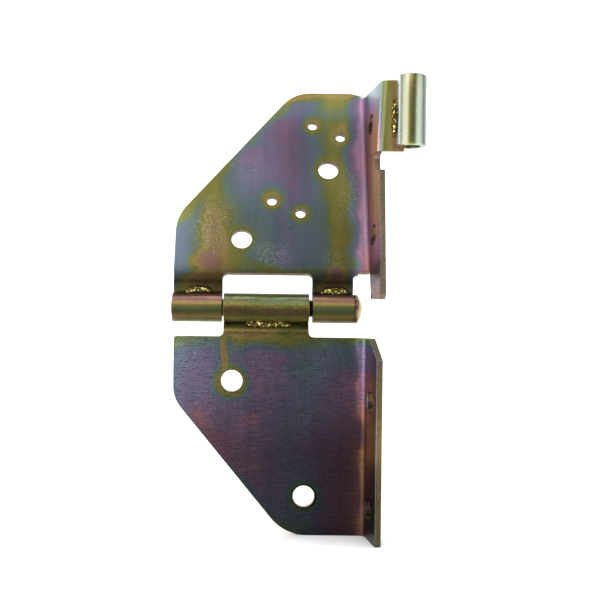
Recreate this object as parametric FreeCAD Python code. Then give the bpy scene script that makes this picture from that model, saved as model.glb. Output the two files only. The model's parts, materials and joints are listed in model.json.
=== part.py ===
"""Sheet-steel fold-down frame hinge with a door-pin barrel, left hand.

Millimetres.  X runs along the hinge pin, Y points away from the side that
bolts to the frame, Z is up.  The origin is on the pin axis, midway between the
outer knuckles.  The lower leaf stands upright and the upper leaf leans back.
"""
import FreeCAD
import Part
import os
from math import acos, asin, atan2, cos, hypot, pi, radians, sin, tan

V = FreeCAD.Vector

# ---------------------------------------------------------------- sheet
T = 2.7                  # sheet thickness
BEND = 2.2               # inner radius of the flange bends
HOLE_R = 4.75            # bolt holes in plates and flanges
SPLAY = 8.0              # flanges open this far past square, degrees

# ---------------------------------------------------------------- pin and knuckles
PIN_R = 3.74
BORE_R = 3.80            # running bore, centre knuckle
HEAD_R, HEAD_T, HEAD_EDGE = 6.45, 3.7, 1.3
PIN_LEFT = -40.95        # peened end
LEFT_X = (-40.3, -18.4)
MID_X = (-17.6, 20.25)
RIGHT_X = (21.9, 40.15)
HEAD_X = RIGHT_X[1] + 0.2
JOGGLE_R = 2.0           # inner radius where a tab leaves its plate

# ---------------------------------------------------------------- upper leaf (x, v up the leaf)
RAKE = 21.0              # lean of the upper leaf at rest, degrees
U_LEFT, U_RIGHT = -40.5, 47.4      # plate edge, flange inner face
U_GAP, U_TOP = 15.8, 111.3         # lower edge between the tabs, top edge
U_SLANT = ((-40.5, 43.6), (13.9, 111.3))
U_CORNER = (21.0, 17.0)            # radii at the two ends of the slant
U_JOGGLE = 12.0
U_HOLES = ((-10.2, 32.6), (29.9, 68.8))
SCREW_R = 2.35
SCREW_CENTRE, SCREW_SIZE, SCREW_TILT = (19.7, 69.4), (14.7, 45.0), 64.7
U_FLANGE_TOP, U_FLANGE_LOW = 102.6, 4.6     # level edges, Z
U_DEPTH = ((4.5, 15.3), (55.0, 21.0))       # flange depth at two heights v
U_FLANGE_HOLES = ((11.2, 87.1), (7.8, 31.9))    # (depth, v)
RELIEF_DEPTH, RELIEF_Z, RELIEF_R = 14.2, (62.4, 71.0), 2.3

# ---------------------------------------------------------------- door-pin tab and barrel
TAB_Y = 1.0              # front face of the tab
TAB_BEND = 0.6
BARREL_X, BARREL_Y = 65.1, 2.35
BARREL_R, BARREL_BORE = 6.9, 4.5
BARREL_Z = (73.1, 104.7)

# ---------------------------------------------------------------- lower leaf (x, v down the leaf)
L_LEFT, L_RIGHT = -39.6, 45.1
L_TOP, L_BOTTOM = 12.75, 100.4
L_SLANT = ((-39.6, 40.3), (10.5, 100.4))
L_CORNER = (15.0, 21.0)
L_JOGGLE = 10.6
L_HOLES = ((-13.6, 32.4), (18.8, 83.2))
L_DEPTH = 18.8
L_FLANGE_HOLES = ((8.4, 40.2), (6.8, 87.6))
L_CHAMFER = (12.5, 8.6)   # along the depth, along the height
TAB_FILLET = 2.4


# ---------------------------------------------------------------- 2D helpers
def unit(a, b):
    d = hypot(b[0] - a[0], b[1] - a[1])
    return ((b[0] - a[0]) / d, (b[1] - a[1]) / d)


def rounded(points):
    """Closed outline through (x, y, radius) corners, as a list of edges in XY."""
    n = len(points)
    ends, edges = [], []
    for i, (x, y, r) in enumerate(points):
        a = unit((x, y), points[i - 1][:2])
        b = unit((x, y), points[(i + 1) % n][:2])
        if r <= 0:
            ends.append((V(x, y, 0), None, V(x, y, 0)))
            continue
        turn = acos(max(-1.0, min(1.0, a[0] * b[0] + a[1] * b[1])))
        cut = r / tan(turn / 2)
        bis = unit((0, 0), (a[0] + b[0], a[1] + b[1]))
        far = r / sin(turn / 2) - r
        ends.append((V(x + a[0] * cut, y + a[1] * cut, 0),
                     V(x + bis[0] * far, y + bis[1] * far, 0),
                     V(x + b[0] * cut, y + b[1] * cut, 0)))
    for i, (start, middle, end) in enumerate(ends):
        if middle is not None:
            edges.append(Part.Arc(start, middle, end).toShape())
        following = ends[(i + 1) % n][0]
        if (following - end).Length > 1e-6:
            edges.append(Part.makeLine(end, following))
    return edges


def outline(points):
    return Part.Face(Part.Wire(rounded(points)))


def band(points, thick, radii):
    """Strip of sheet whose mid-line runs through points, bent at the inner ones."""
    sides = []
    for side in (0.5, -0.5):
        corners = []
        for i, p in enumerate(points):
            if i in (0, len(points) - 1):
                a, b = (points[0], points[1]) if i == 0 else (points[-2], points[-1])
                u = unit(a, b)
                corners.append((p[0] - u[1] * side * thick, p[1] + u[0] * side * thick, 0))
                continue
            u, w = unit(points[i - 1], p), unit(p, points[i + 1])
            turn = u[0] * w[1] - u[1] * w[0]
            k = side * thick / (1 + u[0] * w[0] + u[1] * w[1])
            x = p[0] - (u[1] + w[1]) * k
            y = p[1] + (u[0] + w[0]) * k
            inner = (turn > 0) == (side > 0)
            corners.append((x, y, radii[i - 1] + (0 if inner else thick)))
        sides.append(corners)
    return outline(sides[0] + sides[1][::-1])


def place(shape, origin, xdir, ydir):
    """Move a shape drawn in XY so that X and Y run along xdir and ydir."""
    zdir = xdir.cross(ydir)
    m = FreeCAD.Matrix(xdir.x, ydir.x, zdir.x, origin.x,
                       xdir.y, ydir.y, zdir.y, origin.y,
                       xdir.z, ydir.z, zdir.z, origin.z, 0, 0, 0, 1)
    return shape.transformed(m)


def box(x, y, z):
    return Part.makeBox(x[1] - x[0], y[1] - y[0], z[1] - z[0], V(x[0], y[0], z[0]))


def prism_y(face, y0, y1):
    """Extrude an outline drawn as (x, z) along Y."""
    return place(face, V(0, y1, 0), V(1, 0, 0), V(0, 0, 1)).extrude(V(0, y0 - y1, 0))


# ---------------------------------------------------------------- a rolled tab
def rolled_tab(x, joggle, edge, bore, fillets, free_end):
    """Tab that steps back from its plate and rolls round the pin.

    Drawn for a leaf standing above the pin, plate between Y = -T and 0.
    """
    mid = bore + T / 2
    start = (-T / 2, joggle)
    away = hypot(*start)
    slope = asin(mid / away) + atan2(T / 2, joggle)      # lean of the straight part
    touch = (mid * cos(slope), mid * sin(slope))
    strip = band([(-T / 2, edge + 6), start, touch], T, [JOGGLE_R])
    a0, a1 = slope, radians(free_end) - 2 * pi
    am = (a0 + a1) / 2

    def on(r, a):
        return V(r * cos(a), r * sin(a), 0)
    inner, outer = bore, bore + T
    roll = Part.Face(Part.Wire([
        Part.Arc(on(outer, a0), on(outer, am), on(outer, a1)).toShape(),
        Part.makeLine(on(outer, a1), on(inner, a1)),
        Part.Arc(on(inner, a1), on(inner, am), on(inner, a0)).toShape(),
        Part.makeLine(on(inner, a0), on(outer, a0))]))
    x0 = x[0] - (TAB_FILLET if fillets[0] else 0)
    x1 = x[1] + (TAB_FILLET if fillets[1] else 0)
    parts = [place(f, V(x0, 0, 0), V(0, 1, 0), V(0, 0, 1)).extrude(V(x1 - x0, 0, 0))
             for f in (strip, roll)]
    tab = parts[0].fuse(parts[1])
    low = -(outer + 2)
    for wanted, xa, step in ((fillets[0], x[0], -1), (fillets[1], x[1], 1)):
        if not wanted:
            continue
        far = xa + step * (TAB_FILLET + 2)
        corners = [(xa, low, 0), (xa, edge, TAB_FILLET), (far, edge, 0), (far, low, 0)]
        tab = tab.cut(prism_y(outline(corners), -20, 20))
    return tab


def flanged_sheet(left, right, v0, v1, depth):
    """Plate with a flange turned towards -Y at its right edge."""
    s, c = sin(radians(SPLAY)), cos(radians(SPLAY))
    # corner of the mid-surfaces of plate and flange
    corner = (right + (T / 2) * (s + 1) / c, -T / 2)
    tip = (corner[0] + (depth + T) * s, corner[1] - (depth + T) * c)
    face = band([(left, -T / 2), corner, tip], T, [BEND])
    return place(face, V(0, 0, v0), V(1, 0, 0), V(0, 1, 0)).extrude(V(0, 0, v1 - v0))


def flange_frame(right, rake):
    """Origin, depth direction, height direction and outward normal of a flange."""
    s, c = sin(radians(SPLAY)), cos(radians(SPLAY))
    turn = FreeCAD.Rotation(V(1, 0, 0), -rake)
    deep, up, out = V(s, -c, 0), V(0, 0, 1), V(c, s, 0)
    return [turn.multVec(p) for p in (V(right, -T, 0), deep, up, out)]


def hole(centre, direction, r, reach=30.0):
    d = V(direction).normalize()
    return Part.makeCylinder(r, 2 * reach, centre - d * reach, d)


def lean(shape):
    return shape.rotated(V(0, 0, 0), V(1, 0, 0), -RAKE)


def one_solid(shape):
    shape = shape.removeSplitter()
    if len(shape.Solids) != 1:
        raise ValueError("expected one solid, got %d" % len(shape.Solids))
    return shape.Solids[0]


# ---------------------------------------------------------------- upper leaf
def upper_leaf():
    sheet = flanged_sheet(U_LEFT, U_RIGHT, -25, 125, 60)
    (xa, va), (xb, vb) = U_SLANT
    far = 70
    plate = outline([(xa, U_GAP, 0), (xa, va, U_CORNER[0]), (xb, vb, U_CORNER[1]),
                     (41.6, U_TOP, 6), (U_RIGHT - 0.6, U_TOP - 1.4, 0), (far, U_TOP + 6, 0),
                     (far, -25, 0), (RIGHT_X[1] + TAB_FILLET + 2, -25, 0),
                     (RIGHT_X[1] + TAB_FILLET + 2, U_GAP, 0)])
    sheet = sheet.common(prism_y(plate, -80, 5))
    # the bend stops above the pin head; only the flange carries on down
    sheet = sheet.cut(box((30, 80), (-T - 0.9, 5), (-30, U_GAP + 0.9)))
    for x, bore, fillets in ((LEFT_X, PIN_R, (False, True)), (RIGHT_X, PIN_R, (True, True))):
        sheet = sheet.fuse(rolled_tab(x, U_JOGGLE, U_GAP, bore, fillets, 112.0))
    for x, v in U_HOLES:
        sheet = sheet.cut(hole(V(x, 0, v), V(0, 1, 0), HOLE_R))
    for x, v in screw_points():
        sheet = sheet.cut(hole(V(x, 0, v), V(0, 1, 0), SCREW_R))
    sheet = lean(sheet)

    # flange outline: level top and bottom, tapered front edge, bend relief
    o, deep, up, out = flange_frame(U_RIGHT, RAKE)
    (v0, d0), (v1, d1) = U_DEPTH
    slope = (d1 - d0) / (v1 - v0)

    def level(d, z):
        return (z - o.z - d * deep.z) / up.z

    def front(z):
        """Depth and height of the tapered edge where it crosses the level z."""
        v = level(d0, z)
        for _ in range(20):
            v = level(d0 + slope * (v - v0), z)
        return d0 + slope * (v - v0), v
    low, step = front(U_FLANGE_LOW), front(RELIEF_Z[0])
    shape = outline([(-9, level(-9, U_FLANGE_LOW), 0), (low[0], low[1], 2.2),
                     (step[0], step[1], 0.5),
                     (RELIEF_DEPTH, level(RELIEF_DEPTH, RELIEF_Z[0]), 0.8),
                     (RELIEF_DEPTH, level(RELIEF_DEPTH, RELIEF_Z[1]), RELIEF_R),
                     (60, level(60, RELIEF_Z[1]), 0), (60, level(60, U_FLANGE_TOP), 0),
                     (-9, level(-9, U_FLANGE_TOP), 0)])
    shape = place(shape, o - out * 6, deep, up).extrude(out * 14)
    plate_side = lean(box((-99, U_RIGHT - 0.6), (-20, 20), (-20, 130)))
    flange = sheet.common(shape.fuse(plate_side))

    # tab: the flange ends at a vertical bend and turns outward
    w = out.cross(V(0, 1, 0))
    w = w * (1 if w.z > 0 else -1)
    w.normalize()
    h = V(w.z, 0, -w.x)
    flange = flange.cut(box((0, 99), (-99, TAB_Y + TAB_BEND + T + 1.5),
                            (RELIEF_Z[1] - 3, 140)))
    # section square to the bend line, in the plane of Y and h
    foot = o + out * (T / 2)
    k = (TAB_Y + T / 2 - foot.y) / deep.y
    bend = foot + deep * k                      # a point on both mid-planes
    toward = w.cross(out)
    toward = toward * (1 if toward.y < 0 else -1)
    pts = [(-12 * toward.dot(h), -12 * toward.y), (0.0, 0.0), (30.0, 0.0)]
    strip = band(pts, T, [TAB_BEND])
    tab = place(strip, V(bend) - w * 150, h, V(0, 1, 0)).extrude(w * 400)
    tab = tab.common(box((0, BARREL_X - 3), (-20, 20), (RELIEF_Z[1], U_FLANGE_TOP)))
    tab = tab.cut(barrel_blank())
    leaf = flange.fuse(tab)

    for d, v in U_FLANGE_HOLES:
        leaf = leaf.cut(hole(o + deep * d + up * v, out, HOLE_R, 8))
    return one_solid(leaf)


def screw_points():
    """Corners of the slanted rectangle of small holes."""
    a = radians(SCREW_TILT)
    along, across = (cos(a), sin(a)), (sin(a), -cos(a))
    cx, cv = SCREW_CENTRE
    pts = []
    for i in (-0.5, 0.5):
        for j in (-0.5, 0.5):
            p, q = i * SCREW_SIZE[1], j * SCREW_SIZE[0]
            pts.append((cx + along[0] * p + across[0] * q, cv + along[1] * p + across[1] * q))
    return pts


# ---------------------------------------------------------------- lower leaf
def lower_leaf():
    sheet = flanged_sheet(L_LEFT, L_RIGHT, 0, 125, L_DEPTH + 20)
    (xa, va), (xb, vb) = L_SLANT
    plate = outline([(xa, L_TOP, 1.2), (xa, va, L_CORNER[0]), (xb, vb, L_CORNER[1]),
                     (70, L_BOTTOM, 0), (70, L_TOP, 0)])
    sheet = sheet.common(prism_y(plate, -80, 5))
    o, deep, up, out = flange_frame(L_RIGHT, 0)
    dx, dz = L_CHAMFER
    keep = outline([(-20, 0, 0), (L_DEPTH - dx, 0, 0), (L_DEPTH - dx, L_TOP, 0),
                    (L_DEPTH, L_TOP + dz, 0), (L_DEPTH, L_BOTTOM + 0.6, 2.0), (-20, L_BOTTOM, 0)])
    keep = place(keep, o - out * 6, deep, up).extrude(out * 14)
    plate_side = box((-99, L_RIGHT - 1), (-40, 5), (0, 130))
    sheet = sheet.common(keep.fuse(plate_side))
    sheet = sheet.fuse(rolled_tab(MID_X, L_JOGGLE, L_TOP, BORE_R, (True, True), 100.0))
    for x, v in L_HOLES:
        sheet = sheet.cut(hole(V(x, 0, v), V(0, 1, 0), HOLE_R))
    for d, v in L_FLANGE_HOLES:
        sheet = sheet.cut(hole(o + deep * d + up * v, out, HOLE_R, 8))
    return one_solid(sheet.mirror(V(0, 0, 0), V(0, 0, 1)))


# ---------------------------------------------------------------- pin, barrel, welds
def hinge_pin():
    def rod(x, r, length):
        return Part.makeCylinder(r, length, V(x, 0, 0), V(1, 0, 0))
    shank = rod(PIN_LEFT + 0.6, PIN_R, HEAD_X - PIN_LEFT)
    peened = Part.makeCone(PIN_R - 0.8, PIN_R, 0.6, V(PIN_LEFT, 0, 0), V(1, 0, 0))
    cap = HEAD_T - HEAD_EDGE                    # height of the dome
    ball = (HEAD_R ** 2 + cap ** 2) / (2 * cap)
    dome = Part.makeSphere(ball, V(HEAD_X + HEAD_T - ball, 0, 0))
    head = rod(HEAD_X, HEAD_R, HEAD_T).common(dome)
    return one_solid(shank.fuse(peened).fuse(head))


def barrel_blank():
    x, y = BARREL_X, BARREL_Y
    return Part.makeCylinder(BARREL_R, BARREL_Z[1] - BARREL_Z[0], V(x, y, BARREL_Z[0]))


def door_pin_barrel():
    tube = barrel_blank().cut(Part.makeCylinder(BARREL_BORE, 60, V(BARREL_X, BARREL_Y, 60)))
    return tube.makeChamfer(0.5, [e for e in tube.Edges if len(e.Vertexes) == 1
                                  and e.Curve.Radius > BARREL_BORE + 1])


def bead(start, direction, length, r, others):
    """Round-ended weld bead, less whatever it lies on."""
    d = V(direction).normalize()
    body = Part.makeCylinder(r, length, start, d)
    for p in (start, start + d * length):
        body = body.fuse(Part.makeSphere(r, p))
    body = body.removeSplitter()
    for other in others:
        body = body.cut(other)
    solids = sorted(body.Solids, key=lambda s: -s.Volume)
    return solids[0]


def build():
    upper, lower = upper_leaf(), lower_leaf()
    pin, barrel = hinge_pin(), door_pin_barrel()
    wrap = Part.makeCylinder(PIN_R + 0.3, 90, V(-45, 0, 0), V(1, 0, 0))
    ex = V(1, 0, 0)
    return {
        "lower_leaf": lower,
        "upper_leaf": upper,
        "hinge_pin": pin,
        "door_pin_barrel": barrel,
        "knuckle_weld_left": bead(V(-33.2, 1.4, 7.2), ex, 8.2, 2.0, [upper, wrap]),
        "knuckle_weld_right": bead(V(28.4, 1.4, 7.2), ex, 7.4, 2.0, [upper, wrap]),
        "knuckle_weld_lower": bead(V(-6.6, -1.0, -7.1), ex, 17.2, 2.0, [lower, wrap]),
        "barrel_weld": bead(V(57.6, TAB_Y - 0.2, 78.4), V(0, 0, 1), 15.0, 1.9,
                            [upper, barrel_blank()]),
    }


if __name__ == "__main__":
    os.makedirs("parts", exist_ok=True)
    for name, shape in build().items():
        print(name, shape.ShapeType, "valid", shape.isValid(), "volume %.1f" % shape.Volume,
              "box", [round(v, 2) for v in (shape.BoundBox.XMin, shape.BoundBox.XMax,
                                            shape.BoundBox.YMin, shape.BoundBox.YMax,
                                            shape.BoundBox.ZMin, shape.BoundBox.ZMax)])
        shape.exportStep("parts/%s.step" % name)
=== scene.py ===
# %% [markdown]
# # A folding frame hinge in yellow-chromate plate
# The real hinge is two leaves of pressed sheet steel, rolled round a headed pin.  The upper
# leaf leans back and carries an upright tube that takes a door's pin.  Everything was zinc
# plated and dipped in yellow chromate after welding, so one thin film covers sheet, pin,
# tube and weld beads, and its thickness gives the olive, teal, violet and rose tints.

import json
import math
import bmesh
import bpy
from mathutils import Matrix, Vector, noise
from mathutils.bvhtree import BVHTree


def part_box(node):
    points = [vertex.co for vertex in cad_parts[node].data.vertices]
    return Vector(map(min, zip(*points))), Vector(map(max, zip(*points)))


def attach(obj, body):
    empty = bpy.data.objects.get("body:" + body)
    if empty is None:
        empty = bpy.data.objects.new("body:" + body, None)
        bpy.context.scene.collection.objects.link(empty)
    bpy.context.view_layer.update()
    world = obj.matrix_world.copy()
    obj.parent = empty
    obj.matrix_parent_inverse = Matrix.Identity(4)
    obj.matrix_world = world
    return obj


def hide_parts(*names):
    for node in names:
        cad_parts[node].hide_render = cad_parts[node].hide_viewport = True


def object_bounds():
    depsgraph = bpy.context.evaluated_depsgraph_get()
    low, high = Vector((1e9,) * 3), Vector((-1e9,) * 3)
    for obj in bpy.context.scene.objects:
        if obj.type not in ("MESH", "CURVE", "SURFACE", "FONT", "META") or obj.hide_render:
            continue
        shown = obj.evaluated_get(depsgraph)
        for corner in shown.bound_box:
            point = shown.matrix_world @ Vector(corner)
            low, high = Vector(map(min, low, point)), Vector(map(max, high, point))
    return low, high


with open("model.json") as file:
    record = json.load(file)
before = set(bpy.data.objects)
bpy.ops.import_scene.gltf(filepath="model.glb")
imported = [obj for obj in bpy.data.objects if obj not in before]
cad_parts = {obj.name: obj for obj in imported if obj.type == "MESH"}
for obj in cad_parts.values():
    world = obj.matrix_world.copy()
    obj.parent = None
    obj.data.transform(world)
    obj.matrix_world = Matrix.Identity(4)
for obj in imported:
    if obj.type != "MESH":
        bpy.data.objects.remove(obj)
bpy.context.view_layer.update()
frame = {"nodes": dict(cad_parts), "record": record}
MM = 0.001
SHEET = 2.7 * MM           # both leaves are cut from this sheet
X, Z = Vector((1, 0, 0)), Vector((0, 0, 1))
mounts = {m["name"]: m for m in frame["record"]["mounts"]}

# %% [markdown]
# ## Sheet steel with softened edges
# A punched and sheared blank has a small rollover on every edge, and that thin rounded rim
# is what catches the light.  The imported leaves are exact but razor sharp.  A merged copy of
# each one has its flat faces dissolved into single polygons, so that one bevel can run
# round every sharp edge.  Moving the edges by hand would lose the exact hole positions.

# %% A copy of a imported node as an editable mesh
SAME_POINT, SAME_PLANE = 0.002 * MM, math.radians(0.4)


def merged_copy(node):
    """A welded copy of a node, with its flat triangles joined into whole faces."""
    mesh = bmesh.new()
    mesh.from_mesh(frame["nodes"][node].data)
    bmesh.ops.remove_doubles(mesh, verts=mesh.verts, dist=SAME_POINT)
    bmesh.ops.dissolve_limit(mesh, angle_limit=SAME_PLANE, use_dissolve_boundaries=False,
                             verts=mesh.verts, edges=mesh.edges)
    return mesh


def finish_piece(mesh, name, body, node):
    """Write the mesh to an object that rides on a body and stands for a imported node."""
    data = bpy.data.meshes.new(name)
    mesh.to_mesh(data)
    mesh.free()
    data.shade_smooth()
    piece = bpy.data.objects.new(name, data)
    bpy.context.scene.collection.objects.link(piece)
    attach(piece, body)
    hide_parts(node)
    print(name, len(data.polygons), "faces")
    return piece


# %% Which faces are cut edges
CUT = "cut_face"           # 0 on the rolled skin of the sheet, 1 on a cut wall, 0.5 on a rim
SMALLEST_SKIN = 60 * MM ** 2


def mark_cut_faces(mesh):
    """Skin has the sheet one thickness deep behind it, or is wider than a sheared wall."""
    layer = mesh.faces.layers.float.new(CUT)
    mesh.normal_update()
    tree = BVHTree.FromBMesh(mesh)
    largest = {}
    for loops in mesh.calc_loop_triangles():
        corners = [loop.vert.co for loop in loops]
        area = (corners[1] - corners[0]).cross(corners[2] - corners[0]).length
        if area > largest.get(loops[0].face, (0, None))[0]:
            largest[loops[0].face] = (area, sum(corners, Vector()) / 3)
    for face, (area, seat) in largest.items():
        hit = tree.ray_cast(seat - face.normal * 0.02 * MM, -face.normal, 0.5)
        skin = hit[3] is not None and abs(hit[3] - SHEET) < 0.3 * MM
        longest = max(edge.calc_length() for edge in face.edges)
        wide = face.calc_area() > max(1.4 * SHEET * longest, SMALLEST_SKIN)
        face[layer] = 0.0 if skin or wide else 1.0
    print(int(sum(face[layer] for face in mesh.faces)), "cut faces of", len(mesh.faces))
    return layer


# %% Bevel every sharp edge
ROLLOVER, SHARP = 0.32 * MM, math.radians(32)


def soften(mesh, layer, width):
    """Round every sharp edge and mark the new strips as rim."""
    edges = [e for e in mesh.edges if len(e.link_faces) == 2 and e.calc_face_angle(0) > SHARP]
    made = bmesh.ops.bevel(mesh, geom=edges, offset=width, offset_type="OFFSET", segments=3,
                           profile=0.5, affect="EDGES", clamp_overlap=True, material=-1)
    for face in made["faces"]:
        face[layer] = 0.5
    bmesh.ops.recalc_face_normals(mesh, faces=mesh.faces)


def sheet_leaf(node, name, body):
    """One leaf of the hinge with rounded rims and evenly shaded flats."""
    mesh = merged_copy(node)
    layer = mark_cut_faces(mesh)
    soften(mesh, layer, ROLLOVER)
    piece = finish_piece(mesh, name, body, node)
    weighted = piece.modifiers.new("even shading", "WEIGHTED_NORMAL")
    weighted.weight = 70
    return piece


upper_leaf = sheet_leaf("upper_leaf", "upper_leaf_sheet", "upper")
lower_leaf = sheet_leaf("lower_leaf", "lower_leaf_sheet", "lower")

# %% [markdown]
# ## The pin and the barrel
# Both are turned parts: one outline swept round an axis.  A spin of a short profile gives
# the domed head, its squared rim and the peened far end with no seams, and a second
# profile gives the tube with its broken corners.

# %% Spin a profile into a closed solid
def turned(profile, centre, axis, side, steps=96):
    """profile is (along, radius) in millimetres; side points from the axis to the profile."""
    mesh = bmesh.new()
    points = [mesh.verts.new(centre + axis * (a * MM) + side * (r * MM)) for a, r in profile]
    closed = profile[0][1] > 0
    edges = [mesh.edges.new(pair) for pair in zip(points, points[1:])]
    if closed:
        edges.append(mesh.edges.new((points[-1], points[0])))
    bmesh.ops.spin(mesh, geom=points + edges, cent=centre, axis=axis, angle=math.tau,
                   steps=steps, use_merge=True)
    bmesh.ops.remove_doubles(mesh, verts=mesh.verts, dist=0.004 * MM)
    bmesh.ops.recalc_face_normals(mesh, faces=mesh.faces)
    return mesh


def arc(centre, radius, start, end, count):
    """Points of an arc in (along, radius), angles in degrees from the axis."""
    return [(centre[0] + radius * math.cos(math.radians(start + (end - start) * i / count)),
             centre[1] + radius * math.sin(math.radians(start + (end - start) * i / count)))
            for i in range(count + 1)]


# %% The headed pin
low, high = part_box("hinge_pin")
left_end, head_top = low.x / MM, high.x / MM
SHANK, HEAD, HEAD_DEEP, DOME = 3.74, 6.45, 3.7, 2.4     # radii, depth and height, mm
head_base = head_top - HEAD_DEEP
ball = (HEAD ** 2 + DOME ** 2) / (2 * DOME)
dome_edge = math.degrees(math.asin((HEAD - 0.35) / ball))
pin_profile = [(left_end, 0), (left_end + 0.02, 1.4), (left_end + 0.18, 2.4)]
pin_profile += arc((left_end + 0.75, SHANK - 0.75), 0.75, 180, 90, 5)
pin_profile += [(head_base - 0.05, SHANK), (head_base, SHANK + 0.1), (head_base, HEAD - 0.4)]
pin_profile += arc((head_base + 0.4, HEAD - 0.4), 0.4, 180, 90, 4)
pin_profile += arc((head_top - DOME - 0.15, HEAD - 0.3), 0.3, 90, 45, 3)
pin_profile += arc((head_top - ball, 0), ball, dome_edge, 0, 14)[:-1]
pin_profile += [(head_top, 0)]
pin = finish_piece(turned(pin_profile, Vector((0, 0, 0)), X, Z), "headed_pin",
                   "upper", "hinge_pin")

# %% The door-pin barrel
low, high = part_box("door_pin_barrel")
middle = (low + high) / 2
foot, top = low.z / MM, high.z / MM
OUTER, BORE = (high.x - low.x) / 2 / MM, 4.5
CORNER, LIP = 0.7, 0.3     # rounding outside, and round the bore
tube_profile = [(foot + 0.35, BORE)] + arc((foot + LIP, BORE + LIP), LIP, 270, 180, 3)
tube_profile += arc((foot + CORNER, OUTER - CORNER), CORNER, 180, 90, 5)
tube_profile += [(foot + (top - foot) * i / 4, OUTER) for i in (1, 2, 3)]
tube_profile += arc((top - CORNER, OUTER - CORNER), CORNER, 90, 0, 5)
tube_profile += arc((top - LIP, BORE + LIP), LIP, 0, -90, 3)
barrel = finish_piece(turned(tube_profile, Vector((middle.x, middle.y, 0)), Z, X),
                      "barrel_tube", "upper", "door_pin_barrel")

# %% [markdown]
# ## Weld beads
# Each bead is a short row of overlapping puddles, most with spatter beside them.  Squashed
# spheres of uneven size are laid along the seam and a voxel remesh flows them into one
# skin, which noise then roughens.  A single capsule would look like a bar of putty.

# %% Lay the puddles of one bead
def ball_at(mesh, seat, sizes, segments, rings):
    """Add a ball stretched to its sizes, centred on its seat."""
    shape = Matrix.Translation(seat) @ Matrix.Diagonal((*sizes, 1))
    bmesh.ops.create_uvsphere(mesh, u_segments=segments, v_segments=rings, radius=1.0,
                              matrix=shape)


def puddles(start, end, radius, lumps, seed, squash, spatter):
    """Squashed balls of uneven size from start to end, and spatter, all given in mm."""
    mesh = bmesh.new()
    start, end = Vector(start) * MM, Vector(end) * MM
    for i in range(lumps):
        t = i / (lumps - 1)
        wander = noise.noise_vector(Vector((seed, i * 1.7, 0.3)))
        size = radius * MM * (0.80 + 0.26 * noise.noise(Vector((i * 2.3, seed, 4.1)))
                              + 0.16 * math.sin(math.pi * t))
        ball_at(mesh, start.lerp(end, t) + wander * 0.32 * MM, [size * s for s in squash], 18, 12)
    for point, size in spatter:
        ball_at(mesh, Vector(point) * MM, [size * MM] * 3, 12, 8)
    return mesh


# %% Flow the puddles into one skin
VOXEL, RIPPLE, RIPPLE_LONG = 0.16 * MM, 0.13 * MM, 0.9 * MM


def weld_bead(name, node, start, end, radius, lumps, seed, body, squash, spatter=()):
    """Remesh the puddles to one skin, smooth it once and roughen it with noise."""
    mesh = puddles(start, end, radius, lumps, seed, squash, spatter)
    rough = bpy.data.meshes.new(name + "_rough")
    mesh.to_mesh(rough)
    mesh.free()
    carrier = bpy.data.objects.new(name + "_rough", rough)
    bpy.context.scene.collection.objects.link(carrier)
    flow = carrier.modifiers.new("flow", "REMESH")
    flow.mode, flow.voxel_size, flow.use_smooth_shade = "VOXEL", VOXEL, True
    bpy.context.view_layer.update()
    solid = bpy.data.meshes.new_from_object(
        carrier.evaluated_get(bpy.context.evaluated_depsgraph_get()))
    bpy.data.objects.remove(carrier)
    mesh = bmesh.new()
    mesh.from_mesh(solid)
    bmesh.ops.smooth_vert(mesh, verts=mesh.verts, factor=0.5, use_axis_x=True,
                          use_axis_y=True, use_axis_z=True)
    mesh.normal_update()
    for vert in mesh.verts:
        ripple = noise.fractal(vert.co / RIPPLE_LONG + X * seed, 0.7, 2.2, 3)
        vert.co += vert.normal * ripple * RIPPLE
    bmesh.ops.recalc_face_normals(mesh, faces=mesh.faces)
    return finish_piece(mesh, name, body, node)


# %% The four beads
noise.seed_set(11)         # noise_vector drifts with the clock unless the seed is set
beads = [
    weld_bead("weld_on_left_knuckle", "knuckle_weld_left", (-33.2, 1.2, 7.3), (-24.8, 1.2, 7.3),
              2.1, 7, 1.0, "upper", (1.0, 1.0, 0.95),
              [((-35.6, 1.9, 7.0), 0.6), ((-22.9, 1.8, 7.2), 0.5)]),
    weld_bead("weld_on_right_knuckle", "knuckle_weld_right", (28.6, 1.2, 7.3), (35.8, 1.2, 7.4),
              2.15, 6, 5.0, "upper", (1.0, 1.0, 0.98), [((26.4, 1.9, 7.0), 0.55)]),
    weld_bead("weld_on_middle_knuckle", "knuckle_weld_lower", (-6.2, -1.0, -7.0),
              (11.2, -1.0, -7.1), 1.95, 12, 9.0, "lower", (1.0, 0.95, 0.95),
              [((-8.4, -0.5, -7.2), 0.55)]),
    weld_bead("weld_on_barrel", "barrel_weld", (57.9, 1.0, 78.6), (57.9, 1.0, 93.2),
              1.75, 10, 14.0, "upper", (0.95, 1.0, 1.0)),
]

# %% [markdown]
# ## Shader tools
# The tints of a chromate film follow its thickness, so every finish here first works out
# one number, the film.  It runs from 0, a dull rose, through gold, olive, teal, blue and
# violet to a second rose and copper at 1, and a shared ramp turns it into a colour.  A
# second number, the stain, makes that colour lighter or darker: partly the dip's own uneven
# tone, and largely painted light and shade.  The small groups
# below push the film up or down: a soft patch, a ring round a hole, a band along an edge.
# They are built once and placed many times.

# %% A short way to place nodes
def put(tree, kind, inputs=None, **settings):
    """Add a node, set its fields, then fill or link its inputs by index or name."""
    node = tree.nodes.new(kind)
    for key, value in settings.items():
        setattr(node, key, value)
    for key, value in (inputs or {}).items():
        if isinstance(value, bpy.types.NodeSocket):
            tree.links.new(value, node.inputs[key])
        else:
            node.inputs[key].default_value = value
    return node


def math_node(tree, operation, *values, clamp=False):
    """One Math node on numbers or sockets, and its output."""
    return put(tree, "ShaderNodeMath", dict(enumerate(values)), operation=operation,
               use_clamp=clamp).outputs[0]


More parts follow.
